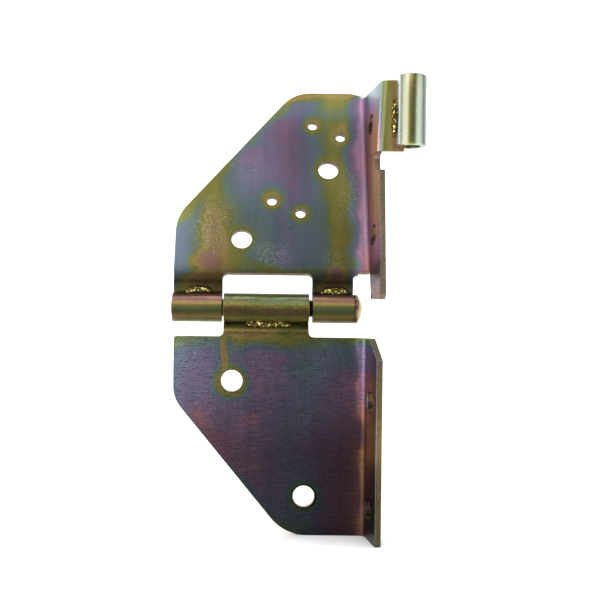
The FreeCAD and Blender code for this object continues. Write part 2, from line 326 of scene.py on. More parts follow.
def vector_node(tree, operation, *values):
    """One Vector Math node, and whichever output the operation fills."""
    node = put(tree, "ShaderNodeVectorMath", dict(enumerate(values)), operation=operation)
    return node.outputs["Value" if operation in ("DOT_PRODUCT", "LENGTH") else "Vector"]


def fade(tree, value, near, far):
    """1 at near, 0 at far, smooth between."""
    node = put(tree, "ShaderNodeMapRange", {"Value": value, "From Min": near, "From Max": far,
                                            "To Min": 1.0, "To Max": 0.0},
               interpolation_type="SMOOTHSTEP")
    return node.outputs["Result"]


def about_half(tree, value):
    """A noise value moved to swing either side of 0."""
    return math_node(tree, "SUBTRACT", value, 0.5)


def blend_value(tree, factor, a, b):
    """a at factor 0 and b at factor 1, for numbers."""
    return put(tree, "ShaderNodeMix", {0: factor, 2: a, 3: b}, data_type="FLOAT").outputs[0]


def blend_colour(tree, factor, a, b, how="MIX"):
    """a at factor 0 and b at factor 1, for colours."""
    return put(tree, "ShaderNodeMix", {0: factor, 6: a, 7: b}, data_type="RGBA",
               blend_type=how).outputs[2]


# %% A short way to make a group
KINDS = {"value": "NodeSocketFloat", "vector": "NodeSocketVector", "colour": "NodeSocketColor"}


def new_group(name, inputs, outputs):
    """An empty node group with named sockets, its inputs to read and its output node."""
    tree = bpy.data.node_groups.new(name, "ShaderNodeTree")
    for label, kind in inputs:
        tree.interface.new_socket(label, in_out="INPUT", socket_type=KINDS[kind])
    for label, kind in outputs:
        tree.interface.new_socket(label, in_out="OUTPUT", socket_type=KINDS[kind])
    return tree, tree.nodes.new("NodeGroupInput").outputs, tree.nodes.new("NodeGroupOutput")


def place(tree, group, **inputs):
    """Put a group in a tree; an underscore in a keyword stands for a space."""
    node = tree.nodes.new("ShaderNodeGroup")
    node.node_tree = group
    for key, value in inputs.items():
        label = key.replace("_", " ")
        if isinstance(value, bpy.types.NodeSocket):
            tree.links.new(value, node.inputs[label])
        else:
            node.inputs[label].default_value = value
    return node.outputs


def settle(group, given, result, mask):
    """Move the group's film towards its target by the mask times the amount."""
    mask = math_node(group, "MULTIPLY", mask, given["Amount"])
    group.links.new(blend_value(group, mask, given["Film"], given["Target"]), result.inputs[0])
    print("group", group.name)


# %% Soft patch of film
patch, given, result = new_group(
    "film patch", [("Film", "value"), ("Point", "vector"), ("Centre", "vector"),
                   ("Reach", "vector"), ("Target", "value"), ("Amount", "value")],
    [("Film", "value")])
offset = vector_node(patch, "SUBTRACT", given["Point"], given["Centre"])
scaled = vector_node(patch, "DIVIDE", offset, given["Reach"])
settle(patch, given, result, fade(patch, vector_node(patch, "LENGTH", scaled), 0.25, 1.0))

# %% Ring round a hole, and a narrow rim beside it
RIM_WIDE = 1.2 * MM
ring, given, result = new_group(
    "hole ring", [("Film", "value"), ("Point", "vector"), ("Centre", "vector"),
                  ("Axis", "vector"), ("Radius", "value"), ("Spread", "value"),
                  ("Target", "value"), ("Amount", "value")],
    [("Film", "value"), ("Rim", "value")])
offset = vector_node(ring, "SUBTRACT", given["Point"], given["Centre"])
away = vector_node(ring, "LENGTH", vector_node(ring, "CROSS_PRODUCT", offset, given["Axis"]))
beyond = math_node(ring, "SUBTRACT", away, given["Radius"])
settle(ring, given, result, fade(ring, beyond, 0.0, given["Spread"]))
ring.links.new(fade(ring, beyond, 0.0, RIM_WIDE), result.inputs[1])

# %% Band along an edge
band, given, result = new_group(
    "edge band", [("Film", "value"), ("Point", "vector"), ("Start", "vector"),
                  ("Inward", "vector"), ("Width", "value"), ("Target", "value"),
                  ("Amount", "value")], [("Film", "value")])
offset = vector_node(band, "SUBTRACT", given["Point"], given["Start"])
inside = vector_node(band, "DOT_PRODUCT", offset, given["Inward"])
settle(band, given, result, fade(band, inside, 0.0, given["Width"]))

# %% Noise and scaling in one line each
def noise_at(tree, point, scale, detail, roughness):
    """A Noise Texture node."""
    return put(tree, "ShaderNodeTexNoise", {"Vector": point, "Scale": scale, "Detail": detail,
                                            "Roughness": roughness})


def scaled_by(tree, vector, amount):
    """A vector or colour times one number."""
    return put(tree, "ShaderNodeVectorMath", {0: vector, "Scale": amount},
               operation="SCALE").outputs[0]


# %% Drifting film: slow clouds, streaks that ran down, and a wandering point
WANDER = 20 * MM
drift, given, result = new_group(
    "film drift", [("Point", "vector"), ("Scale", "value"), ("Streak", "value")],
    [("Point", "vector"), ("Cloud", "value"), ("Streaks", "value")])
slow = noise_at(drift, given["Point"], given["Scale"], 3.0, 0.55)
push = vector_node(drift, "SUBTRACT", slow.outputs["Color"], (0.5, 0.5, 0.5))
pushed = vector_node(drift, "ADD", given["Point"], scaled_by(drift, push, WANDER))
finer = math_node(drift, "MULTIPLY", given["Scale"], 5.0)
patchy = noise_at(drift, given["Point"], finer, 4.0, 0.6)
cloud = blend_value(drift, 0.35, slow.outputs[0], patchy.outputs[0])
long_way = vector_node(drift, "MULTIPLY", given["Point"], (1.0, 0.12, 0.12))
runs = noise_at(drift, long_way, given["Streak"], 4.0, 0.6)
for i, socket in enumerate((pushed, cloud, runs.outputs[0])):
    drift.links.new(socket, result.inputs[i])
print("group", drift.name)

# %% The colours of the film
tint, given, result = new_group("film colours", [("Film", "value"), ("Depth", "value")],
                                [("Colour", "colour")])
ramp = put(tint, "ShaderNodeValToRGB", {"Fac": given["Film"]})
ramp.color_ramp.interpolation = "B_SPLINE"
TINTS = [(0.00, (0.30, 0.165, 0.20)), (0.055, (0.42, 0.22, 0.18)),
         (0.11, (0.42, 0.26, 0.10)), (0.18, (0.45, 0.37, 0.13)), (0.26, (0.28, 0.26, 0.045)),
         (0.37, (0.22, 0.28, 0.15)), (0.49, (0.18, 0.25, 0.26)), (0.61, (0.19, 0.22, 0.31)),
         (0.74, (0.27, 0.19, 0.31)), (0.85, (0.38, 0.20, 0.27)), (0.93, (0.42, 0.20, 0.17)),
         (1.00, (0.44, 0.25, 0.10))]
stops = ramp.color_ramp.elements
for i, (position, colour) in enumerate(TINTS):
    stop = stops[i] if i < 2 else stops.new(position)
    stop.position, stop.color = position, (*colour, 1)
BRIGHTEST = (0.92, 0.90, 0.86)
stained = scaled_by(tint, ramp.outputs[0], given["Depth"])
tint.links.new(vector_node(tint, "MINIMUM", stained, BRIGHTEST), result.inputs[0])
print("film ramp", len(stops), "stops")

# %% Rolled and brushed grain, worn speckle, pits and short rolling dashes
DUST_SCALE, PIT_SCALE, DASH_SCALE = 2300.0, 330.0, 2900.0
PITTED = 0.80              # only the cells above this share hold a pit
grain, given, result = new_group(
    "sheet grain", [("Point", "vector"), ("Along", "vector"), ("Fineness", "value"),
                    ("Pit Size", "value")],
    [("Lines", "value"), ("Speckle", "value"), ("Pits", "value"), ("Dashes", "value"),
     ("Height", "value")])
drawn = vector_node(grain, "MULTIPLY", given["Point"], given["Along"])
lines = noise_at(grain, drawn, given["Fineness"], 3.0, 0.7).outputs[0]
dust = noise_at(grain, given["Point"], DUST_SCALE, 2.0, 0.8).outputs[0]
speckle = fade(grain, dust, 0.66, 0.56)
cells = put(grain, "ShaderNodeTexVoronoi", {"Vector": given["Point"], "Scale": PIT_SCALE,
                                            "Randomness": 1.0})
chance = put(grain, "ShaderNodeSeparateColor", {0: cells.outputs["Color"]}).outputs[0]
rare = math_node(grain, "GREATER_THAN", chance, PITTED)
dots = fade(grain, cells.outputs["Distance"], 0.0, given["Pit Size"])
pits = math_node(grain, "MULTIPLY", dots, rare)
short_way = vector_node(grain, "MULTIPLY", given["Point"], (0.28, 1.0, 1.0))
dashes = fade(grain, noise_at(grain, short_way, DASH_SCALE, 2.0, 0.6).outputs[0], 0.34, 0.46)
height = math_node(grain, "SUBTRACT", lines, math_node(grain, "MULTIPLY", pits, 1.6))
height = math_node(grain, "SUBTRACT", height, math_node(grain, "MULTIPLY", dashes, 0.5))
for i, socket in enumerate((lines, speckle, pits, dashes, height)):
    grain.links.new(socket, result.inputs[i])
print("group", grain.name)

# %% Torn and sheared cut faces
shear, given, result = new_group("sheared face", [("Point", "vector"), ("Scale", "value")],
                                 [("Colour", "colour"), ("Height", "value")])
torn = noise_at(shear, given["Point"], given["Scale"], 5.0, 0.75).outputs[0]
metal = put(shear, "ShaderNodeValToRGB", {"Fac": torn})
TORN_TONES = [(0.32, (0.07, 0.055, 0.04)), (0.70, (0.35, 0.27, 0.19))]
for stop, (position, colour) in zip(metal.color_ramp.elements, TORN_TONES):
    stop.position, stop.color = position, (*colour, 1)
shear.links.new(metal.outputs[0], result.inputs[0])
shear.links.new(torn, result.inputs[1])
print("group", shear.name)

# %% A curve over a coordinate
def curve_over(tree, coordinate, low, high, points):
    """A number that follows given points as a coordinate in mm runs from low to high.

    A Float Curve stops at 1, so taller curves are scaled down to fit and back up after it.
    """
    span = math_node(tree, "DIVIDE", math_node(tree, "SUBTRACT", coordinate, low * MM),
                     (high - low) * MM, clamp=True)
    node = put(tree, "ShaderNodeFloatCurve", {"Value": span})
    line = node.mapping.curves[0]
    peak = max(1.0, *[value for _, value in points])
    spots = [((at - low) / (high - low), value / peak) for at, value in points]
    line.points[0].location, line.points[1].location = spots[0], spots[-1]
    for spot in spots[1:-1]:
        line.points.new(*spot)
    node.mapping.update()
    return math_node(tree, "MULTIPLY", node.outputs[0], peak) if peak > 1 else node.outputs[0]


def coated(name):
    """A material with its shader, the object's coordinates and an empty tree to fill."""
    material = bpy.data.materials.new(name)
    material.use_nodes = True
    tree = material.node_tree
    tree.nodes.clear()
    shader = put(tree, "ShaderNodeBsdfPrincipled")
    put(tree, "ShaderNodeOutputMaterial", {"Surface": shader.outputs[0]})
    shader.inputs["Metallic"].default_value = 1.0
    point = put(tree, "ShaderNodeTexCoord").outputs["Object"]
    return material, tree, shader, point


def link_bump(tree, shader, height, strength, distance):
    """Feed a height, in units of the distance, to the shader's normal."""
    bump = put(tree, "ShaderNodeBump", {"Strength": strength, "Distance": distance,
                                        "Height": height})
    tree.links.new(bump.outputs[0], shader.inputs["Normal"])


# %% [markdown]
# ## The plated sheet
# The film is laid out as it drained: straw along the sheared edges and round the holes,
# teal and violet in the open field, rose by the bends.  A painted map could hold all of it
# but needs the leaf unwrapped, so coordinates carry it instead.  Two curves across the
# leaf, one for its top and one for its foot, set the film, and two more set the stain.  The
# drift group bends them so that no border runs straight.  Much of the stain is painted
# light and shade: painted shade on the lower leaf towards its foot and right side and in
# the recess under the upper plate, painted light and shade on the flanges, and painted
# highlight and shade bands round the knuckles.

# %% Where a point lies on a leaf
def leaf_places(tree, point, up, out):
    """Loose coordinates wander, and so do borders that follow them; steady ones hardly do."""
    drifted = place(tree, drift, Point=point, Scale=24.0, Streak=210.0)
    loose = drifted["Point"]
    steady = put(tree, "ShaderNodeMix", {0: 0.12, 4: point, 5: loose},
                 data_type="VECTOR").outputs[1]
    loose_x, _, loose_z = put(tree, "ShaderNodeSeparateXYZ", {0: loose}).outputs
    steady_x, _, steady_z = put(tree, "ShaderNodeSeparateXYZ", {0: steady}).outputs
    off_axis = vector_node(tree, "MULTIPLY", point, (0, 1, 1))
    return {"loose": loose, "steady": steady, "across": loose_x, "upright": loose_z,
            "beside": steady_x, "round pin": steady_z,
            "height": vector_node(tree, "DOT_PRODUCT", loose, up),
            "level": vector_node(tree, "DOT_PRODUCT", point, up),
            "depth": vector_node(tree, "DOT_PRODUCT", point, out),
            "from pin": vector_node(tree, "LENGTH", off_axis),
            "cloud": about_half(tree, drifted["Cloud"]),
            "streaks": about_half(tree, drifted["Streaks"])}


# %% Film, and stain with painted light and shade, of the plate and its flange
FLANGE_BEGINS, FLANGE_FULL = 3.4 * MM, 7.5 * MM        # in front of the pin's axis
OUTER_BEGINS, OUTER_FULL = 8.0 * MM, 17.0 * MM


def plate_and_flange(tree, at, film, stain_and_painted_light, up_the_leaf, flange, foot_and_head):
    """Two curves across the plate, one up the flange, and one more stain curve up the leaf; the
    flange's stain and its outward change are painted light and shade, and the curve up the leaf
    paints shade in the recess under the upper plate.
    """
    share = fade(tree, at["height"], foot_and_head[0] * MM, foot_and_head[1] * MM)
    value, strength = [
        blend_value(tree, share, curve_over(tree, at["across"], *curves["range"], curves["head"]),
                    curve_over(tree, at["across"], *curves["range"], curves["foot"]))
        for curves in (film, stain_and_painted_light)]
    side_film, flange_stain_and_painted_light = [
        curve_over(tree, at["upright"], *flange["range"], flange[key])
        for key in ("film", "stain_and_painted_light")]
    on_flange = fade(tree, at["depth"], FLANGE_FULL, FLANGE_BEGINS)
    # the outer part of the flange is painted lighter or darker as painted light and shade
    outward = fade(tree, at["depth"], OUTER_FULL, OUTER_BEGINS)
    flange_painted_light = math_node(tree, "MULTIPLY_ADD", outward, flange["outward"], 1.0)
    flange_stain_and_painted_light = math_node(tree, "MULTIPLY", flange_stain_and_painted_light, flange_painted_light)
    value = blend_value(tree, on_flange, value, side_film)
    strength = blend_value(tree, on_flange, strength, flange_stain_and_painted_light)
    # the curve up the leaf holds painted shade in the recess under the upper plate
    stain_and_shade_up_the_leaf = curve_over(tree, at["level"], *up_the_leaf["range"], up_the_leaf["stain_and_painted_light"])
    return value, math_node(tree, "MULTIPLY", strength, stain_and_shade_up_the_leaf)


# %% Film and stain of the barrel's tab, and of the rolled knuckles with their painted bands
TAB_BEGINS, TAB_FULL = 50.3 * MM, 52.0 * MM            # along X
ROLL_FULL, ROLL_ENDS = 6.6 * MM, 7.6 * MM              # away from the pin's axis
ROLL_SPAN = 6.8            # the knuckles' curves run this far above and below the pin, mm


def barrel_tab(tree, at, value, strength, tab):
    """The tab that carries the barrel has its own curves across its width."""
    on_tab = fade(tree, at["beside"], TAB_FULL, TAB_BEGINS)
    tab_film, tab_stain = [
        curve_over(tree, at["beside"], *tab["range"], tab[key]) for key in ("film", "stain_and_painted_light")]
    value = blend_value(tree, on_tab, value, tab_film)
    return value, blend_value(tree, on_tab, strength, tab_stain)


def rolled_knuckle(tree, at, value, strength, roll):
    """Round the pin the curves run from the underside of the roll to its top, and the stain curve
    paints bands of highlight and shade round it.
    """
    on_roll = fade(tree, at["from pin"], ROLL_FULL, ROLL_ENDS)
    roll_film, roll_painted_bands = [
        curve_over(tree, at["round pin"], -ROLL_SPAN, ROLL_SPAN, roll[key])
        for key in ("film", "stain_and_painted_light")]
    roll_film = math_node(tree, "MULTIPLY_ADD", at["cloud"], 0.25, roll_film)
    value = blend_value(tree, on_roll, value, roll_film)
    return value, blend_value(tree, on_roll, strength, roll_painted_bands)


# %% Drift, bands, patches and rings over the film
def drained_film(tree, at, value, bands, patches, rings):
    """The film after every band, patch and ring, and a rim mask beside all the holes."""
    value = math_node(tree, "MULTIPLY_ADD", at["cloud"], 0.46, value)
    value = math_node(tree, "MULTIPLY_ADD", at["streaks"], 0.07, value)
    for start, inward, width, target, amount in bands:
        value = place(tree, band, Film=value, Point=at["loose"], Start=Vector(start) * MM,
                      Inward=inward, Width=width * MM, Target=target, Amount=amount)[0]
    for centre, reach, target, amount in patches:
        value = place(tree, patch, Film=value, Point=at["loose"], Centre=Vector(centre) * MM,
                      Reach=Vector(reach) * MM, Target=target, Amount=amount)[0]
    rim = 0.0
    for mount, radius, spread, target, amount in rings:
        hole = mounts[mount]
        ringed = place(tree, ring, Film=value, Point=at["steady"], Centre=hole["pos_m"],
                       Axis=hole["axis"], Radius=radius * MM, Spread=spread * MM,
                       Target=target, Amount=amount)
        value = ringed["Film"]
        rim = math_node(tree, "MAXIMUM", rim, ringed["Rim"])
    return value, rim


# %% Places where the top of the film is worn to pale speckle
def frost_mask(tree, at, frosted):
    """How much speckle each place may show, from soft patches laid over nothing."""
    frost = 0.0
    for centre, reach, amount in frosted:
        frost = place(tree, patch, Film=frost, Point=at["loose"], Centre=Vector(centre) * MM,
                      Reach=Vector(reach) * MM, Target=1.0, Amount=amount)[0]
    return frost


# %% Stain after streaks and brushing, with a painted highlight on rims and painted shade in bores
# pale straw on the rims is a painted highlight
STRAW_RIM_HIGHLIGHT = 0.18               # the film on a rounded rim


def worn_stain_and_painted_light(tree, at, strength, lines, brush, rim, on_rim, bore_wall):
    """Streaks and brushing vary the stain; rims get a painted highlight and bore walls painted
    shade.
    """
    strength = math_node(tree, "MULTIPLY_ADD", math_node(tree, "MULTIPLY", at["streaks"], 0.45),
                         strength, strength)
    brushed = math_node(tree, "MULTIPLY", about_half(tree, lines), brush)
    strength = math_node(tree, "MULTIPLY_ADD", brushed, strength, strength)
    strength = math_node(tree, "MULTIPLY_ADD", rim, -0.14, strength)
    # rims: lighter stain as a painted highlight
    strength = math_node(tree, "MULTIPLY_ADD", on_rim, 0.55, strength)
    # bore walls: darker stain as painted shade
    painted_bore_shade = math_node(tree, "MULTIPLY_ADD", bore_wall, -0.70, 1.0)
    return math_node(tree, "MULTIPLY", strength, painted_bore_shade)


# %% Speckle, dashes and pits over the colour
SALT_TONE = (0.62, 0.60, 0.50, 1)
DASH_TONE = (0.015, 0.010, 0.012, 1)
PIT_TONE = (0.02, 0.014, 0.01, 1)


def marked(tree, colour, grain_out, frost, dash_amount):
    """Pale speckle where the film is worn, then dark rolling dashes and pits."""
    salt = math_node(tree, "MULTIPLY", grain_out["Speckle"], frost)
    marks = [(salt, 0.75, SALT_TONE), (grain_out["Dashes"], dash_amount, DASH_TONE),
             (grain_out["Pits"], 0.65, PIT_TONE)]
    for mask, amount, tone in marks:
        colour = blend_colour(tree, math_node(tree, "MULTIPLY", mask, amount), colour, tone)
    return colour


# %% Leaf finish shared by both leaves
WARM_CUT, OLIVE_CUT = (1.0, 0.92, 0.84, 1), (0.55, 0.58, 0.42, 1)


def leaf_finish(name, up, out, film, stain_and_painted_light, up_the_leaf, flange, roll, patches, rings, bands,
                foot_and_head, dash_amount, frosted=(), tab=None, brush=0.35,
                cut_tone=WARM_CUT):
    """The whole finish of one leaf, from its skin to its cut faces."""
    material, tree, shader, point = coated(name)
    at = leaf_places(tree, point, up, out)
    value, strength = plate_and_flange(tree, at, film, stain_and_painted_light, up_the_leaf, flange, foot_and_head)
    if tab:
        value, strength = barrel_tab(tree, at, value, strength, tab)
    value, rim = drained_film(tree, at, value, bands, patches, rings)
    value, strength = rolled_knuckle(tree, at, value, strength, roll)

    grain_out = place(tree, grain, Point=point, Along=(0.35, 1.0, 6.0), Fineness=420.0,
                      Pit_Size=0.16)
    edge = put(tree, "ShaderNodeAttribute", attribute_name=CUT).outputs["Fac"]
    on_rim = math_node(tree, "COMPARE", edge, 0.5, 0.2)
    on_cut = math_node(tree, "GREATER_THAN", edge, 0.8)
    bore_wall = math_node(tree, "MULTIPLY", on_cut, rim)
    value = math_node(tree, "MULTIPLY_ADD", about_half(tree, grain_out["Lines"]), 0.10, value,
                      clamp=True)
    # rims go to pale straw film as a painted highlight
    value = blend_value(tree, math_node(tree, "MULTIPLY", on_rim, 0.6), value, STRAW_RIM_HIGHLIGHT)
    strength = worn_stain_and_painted_light(tree, at, strength, grain_out["Lines"], brush, rim, on_rim, bore_wall)

    colour = place(tree, tint, Film=value, Depth=strength)[0]
    colour = marked(tree, colour, grain_out, frost_mask(tree, at, frosted), dash_amount)
    torn = place(tree, shear, Point=point, Scale=900.0)
    raw = blend_colour(tree, 1.0, torn["Colour"], cut_tone, "MULTIPLY")
    rawness = math_node(tree, "MULTIPLY_ADD", bore_wall, -0.55,
                        math_node(tree, "MULTIPLY", on_cut, 0.80))
    tree.links.new(blend_colour(tree, rawness, colour, raw), shader.inputs["Base Color"])

    rough = math_node(tree, "MULTIPLY_ADD", grain_out["Lines"], 0.22, 0.27)
    for mask, change in ((on_cut, 0.18), (bore_wall, -0.30), (on_rim, -0.10)):
        rough = math_node(tree, "MULTIPLY_ADD", mask, change, rough)
    tree.links.new(rough, shader.inputs["Roughness"])
    relief = math_node(tree, "MULTIPLY_ADD", torn["Height"],
                       math_node(tree, "MULTIPLY", on_cut, 3.0), grain_out["Height"])
    link_bump(tree, shader, relief, 0.55, 0.06 * MM)
    print(name, len(tree.nodes), "nodes")
    return material


# %% Upper leaf: directions and colour layout
LEAN = math.radians(21)
UP = (0.0, math.sin(LEAN), math.cos(LEAN))
FRONT = (0.0, -UP[2], UP[1])
BOLT, SCREW = 4.75, 2.35   # radii of the holes, mm


def on_upper(x, v):
    """A place on the front of the upper plate: x across, v up the slope."""
    face = SHEET / MM
    return (x, v * UP[1] + face * FRONT[1], v * UP[2] + face * FRONT[2])


def slanted(across, up_slope):
    """A direction in the upper plate's own plane."""
    return (across, up_slope * UP[1], up_slope * UP[2])


# %% Upper leaf: mount, hole radius, ring width in mm, film and amount
upper_rings = [("upper_bolt_a", BOLT, 3.4, .23, .9), ("upper_bolt_b", BOLT, 5.5, .22, .9)]
upper_rings += [(f"screw_{k}", SCREW, 4.8, .16, 1.0) for k in "abcd"]
upper_rings += [(f"upper_side_bolt_{k}", BOLT, 2.0, .96, 1.0) for k in "ab"]

# %% Upper leaf: patches as centre, reach in mm, film and amount
upper_patches = [
    (on_upper(2, 102), (24, 9, 6), .34, .55), (on_upper(-12, 84), (15, 8, 9), .45, .5),
    (on_upper(31, 101), (12, 8, 6), .44, .6), (on_upper(41, 22), (5, 7, 8), .27, .7),
    (on_upper(-14, 21), (9, 7, 6), .22, .6), (on_upper(31, 57), (8, 12, 13), .25, .7),
    (on_upper(36, 90), (3, 6, 10), .10, .7), (on_upper(3, 54), (10, 7, 8), .28, .8),
    (on_upper(8, 17), (26, 7, 6), .23, .8), (on_upper(-20, 30), (8, 6, 9), .11, .6),
    (on_upper(-25, 52), (8, 9, 9), .24, .5), (on_upper(12, 38), (16, 10, 9), .58, .5),
    (on_upper(-29, 19), (12, 9, 8), .05, .9), (on_upper(32, 16), (9, 8, 7), .01, .95),
    (on_upper(-29, 9), (16, 9, 7), .11, 1.0), (on_upper(31, 9), (14, 9, 7), .08, 1.0),
    ((59.5, 1, 74), (8, 8, 11), .07, 1.0)]
upper_frost = [
    (on_upper(-26, 38), (16, 18, 26), .9), (on_upper(4, 26), (13, 8, 9), .8),
    (on_upper(38, 58), (7, 12, 24), .8), (on_upper(30, 22), (8, 8, 8), .5),
    (on_upper(-10, 70), (14, 14, 16), .45)]
print(len(upper_rings), "rings,", len(upper_patches), "patches on the upper leaf")

# %% Upper leaf: curves as (mm, value), then the whole finish
upper_look = leaf_finish(
    "upper leaf chromate", UP, FRONT,
    film={"range": (-41, 49),
          "head": [(-41, .56), (-33, .48), (-27, .30), (-20, .50), (-12, .66), (0, .76),
                   (9, .78), (18, .66), (23, .54), (28, .38), (32, .27), (36, .31), (39, .52),
                   (44, .82), (49, .86)],
          "foot": [(-41, .60), (-34, .48), (-27, .18), (-20, .19), (-13, .34), (-6, .44),
                   (2, .50), (9, .62), (18, .57), (24, .52), (28, .42), (32, .24), (36, .28),
                   (39.5, .48), (44, .84), (49, .92)]},
    stain_and_painted_light={"range": (-41, 49),
           "head": [(-41, .75), (-27, .58), (-18, .62), (-9, .70), (0, .64), (9, .52),
                    (18, .48), (27, .54), (36, .60), (41, .56), (44.5, 1.0), (49, 1.0)],
           "foot": [(-41, .80), (-27, .46), (-18, .40), (-9, .42), (9, .36), (18, .36),
                    (27, .36), (36, .38), (41, .50), (44.5, 1.0), (49, 1.0)]},
    # the dip between 9 and 17 mm is painted shade in the recess under the upper plate
    up_the_leaf={"range": (-7, 112),
          "stain_and_painted_light": [(-7, 1), (6, .9), (9, .38), (12, .22), (14.5, .30), (17, .60), (21, .88),
                    (30, 1.0), (86, 1.0), (95, 1.25), (103, 1.75), (112, 1.9)]},
    # flange stain and its outward lightening are painted light
    flange={"range": (4, 106), "outward": 0.95,
            "film": [(4, .90), (25, .84), (45, 1.0), (72, 1.0), (84, .96), (93, .76),
                     (100, .55), (106, .45)],
            "stain_and_painted_light": [(4, .4), (14, .5), (26, .95), (38, 1.2), (62, 1.3), (74, 1.1),
                      (86, 1.0), (95, .80), (101, .50), (106, .34)]},
    tab={"range": (50, 64),
         "film": [(50, .44), (51.5, .42), (52.8, .35), (54.2, .25), (55.5, .22), (57, .17),
                  (64, .14)],
         "stain_and_painted_light": [(50, 1.0), (51.8, 1.0), (53.2, 1.0), (54.2, 1.0), (55.5, 1.0),
                   (57, .85), (64, .8)]},
    # the roll's stain paints bands of highlight and shade round the knuckles
    roll={"film": [(-6.8, .22), (-5.4, .20), (-4, .16), (-2.7, .20), (-1.3, .34), (0, .34),
                   (1.3, .22), (2.7, .09), (4, .05), (5.3, .07), (6.8, .10)],
          "stain_and_painted_light": [(-6.8, .42), (-5.4, .38), (-4, .30), (-2.7, .18), (-1.3, .18), (0, .46),
                    (1.3, .72), (2.7, .75), (4, .9), (5.1, .20), (6.8, .20)]},
    patches=upper_patches,
    rings=upper_rings,
    bands=[(on_upper(-40.5, 43.6), slanted(0.779, -0.6267), 3.2, .23, .8),
           (on_upper(14, 111.3), slanted(0, -1), 5.5, .10, .95)],
    foot_and_head=(38, 64), dash_amount=0.12, frosted=upper_frost)

# %% Lower leaf: rings and patches, given as on the upper leaf
lower_rings = [("lower_bolt_a", BOLT, 5.5, .17, .95), ("lower_bolt_b", BOLT, 5.0, .30, .9),
               ("lower_side_bolt_a", BOLT, 2.0, .96, 1.0),
               ("lower_side_bolt_b", BOLT, 2.0, .90, 1.0)]
lower_patches = [
    ((-28, -2.7, -50), (7, 6, 7), .95, .6), ((-6, -2.7, -50), (6, 6, 6), .96, .6),
    ((-14.6, -2.7, -20), (2.6, 6, 12), .09, 1.0), ((40, -2.7, -20), (12, 6, 9), .44, .7),
    ((8, -2.7, -97), (18, 6, 9), .35, .9), ((18, -2.7, -24), (14, 6, 7), .45, .5),
    ((2, -2.0, -10.5), (36, 6, 5.0), .15, .95), ((41, -2.7, -13), (13, 6, 4.5), .20, .8),
    ((45, -3, -56), (4, 8, 18), 1.05, .9)]
print(len(lower_rings), "rings,", len(lower_patches), "patches on the lower leaf")

# %% Lower leaf: the same film, with painted shade towards its foot and right side
lower_look = leaf_finish(
    "lower leaf chromate", (0.0, 0.0, 1.0), (0.0, -1.0, 0.0),
    film={"range": (-40, 48),
          "head": [(-40, .46), (-36, .56), (-27, .66), (-18, .60), (-9, .60), (0, .74),
                   (9, .72), (18, .60), (30, .62), (38, .72), (44, .82), (48, .84)],
          "foot": [(-40, .60), (-27, .88), (-13, .80), (0, .74), (12, .68), (24, .78),
                   (34, .86), (41, .90), (44, .95), (48, .95)]},
    # this stain is painted shade: darker towards the right and much darker towards the foot
    stain_and_painted_light={"range": (-40, 48),
           "head": [(-40, 1.0), (-33, .82), (-18, .55), (-4, .42), (12, .34), (28, .33),
                    (38, .31), (42, .40), (44.5, 1.0), (48, 1.0)],
           "foot": [(-40, .40), (-20, .24), (0, .16), (16, .13), (30, .09), (40, .11),
                    (42, .16), (44.5, .36), (48, .40)]},
    up_the_leaf={"range": (-101, 7),
          "stain_and_painted_light": [(-101, 1.0), (-88, .95), (-70, .95), (-55, 1.0), (-40, .92), (-28, .94),
                    (-20, 1.0), (-15, 1.0), (-12.5, 1.0), (-11, 1.0), (-9.8, 1.0), (-8, 1.0),
                    (-6, .9), (7, 1)]},
    # flange stain is painted light and shade up the flange, a little darker outward
    flange={"range": (-101, -12), "outward": -0.15,
            "film": [(-101, .66), (-88, .76), (-76, .90), (-64, 1.0), (-52, 1.0), (-40, 1.0),
                     (-30, .96), (-22, .78), (-12, .56)],
            "stain_and_painted_light": [(-101, .08), (-90, .13), (-80, .30), (-70, .55), (-61, 1.5), (-53, 1.8),
                      (-43, 1.1), (-28, .85), (-12, .8)]},
    # the roll's stain paints bands of highlight and shade round the knuckle
    roll={"film": [(-6.8, .24), (-5.4, .24), (-4, .22), (-2.7, .18), (-1.3, .13), (0, .14),
                   (1.3, .26), (2.7, .33), (4, .36), (5.3, .27), (6.8, .26)],
          "stain_and_painted_light": [(-6.8, 1.0), (-5.4, .70), (-4, .24), (-2.7, .12), (-1.3, .13), (0, .34),
                    (1.3, .82), (2.7, .75), (4, 1.0), (5.0, .22), (6.8, .18)]},
    patches=lower_patches,
    rings=lower_rings,
    bands=[((0, 0, -12.75), (0.0, 0.0, -1.0), 6.0, .31, .75),
           ((-39.6, 0, 0), (1.0, 0.0, 0.0), 2.6, .40, .8),
           ((-39.6, 0, -40.3), (0.7684, 0.0, 0.6400), 2.0, .22, .5)],
    foot_and_head=(-68, -24), dash_amount=0.72, brush=1.6, cut_tone=OLIVE_CUT)
for leaf, look in ((upper_leaf, upper_look), (lower_leaf, lower_look)):
    leaf.data.materials.append(look)

# %% [markdown]
# ## Turned parts and weld metal
# The pin and the barrel are turned, so their grain runs round them.  Their film and stain
# follow curves over X, which is along the pin and across the barrel.  Across the barrel the
# curves are painted reflections: coloured bands, a painted lighter left edge and pale
# highlight stripes.  Along the pin the stain is painted shade on the shank between the
# knuckles, and the head is mixed towards pale zinc.  Weld metal is burnt dark with bright
# spots that are painted glints; its film follows a small lumpy noise.

# %% A turned part's finish
PALE_ZINC_AND_HIGHLIGHT = (0.60, 0.66, 0.56, 1)


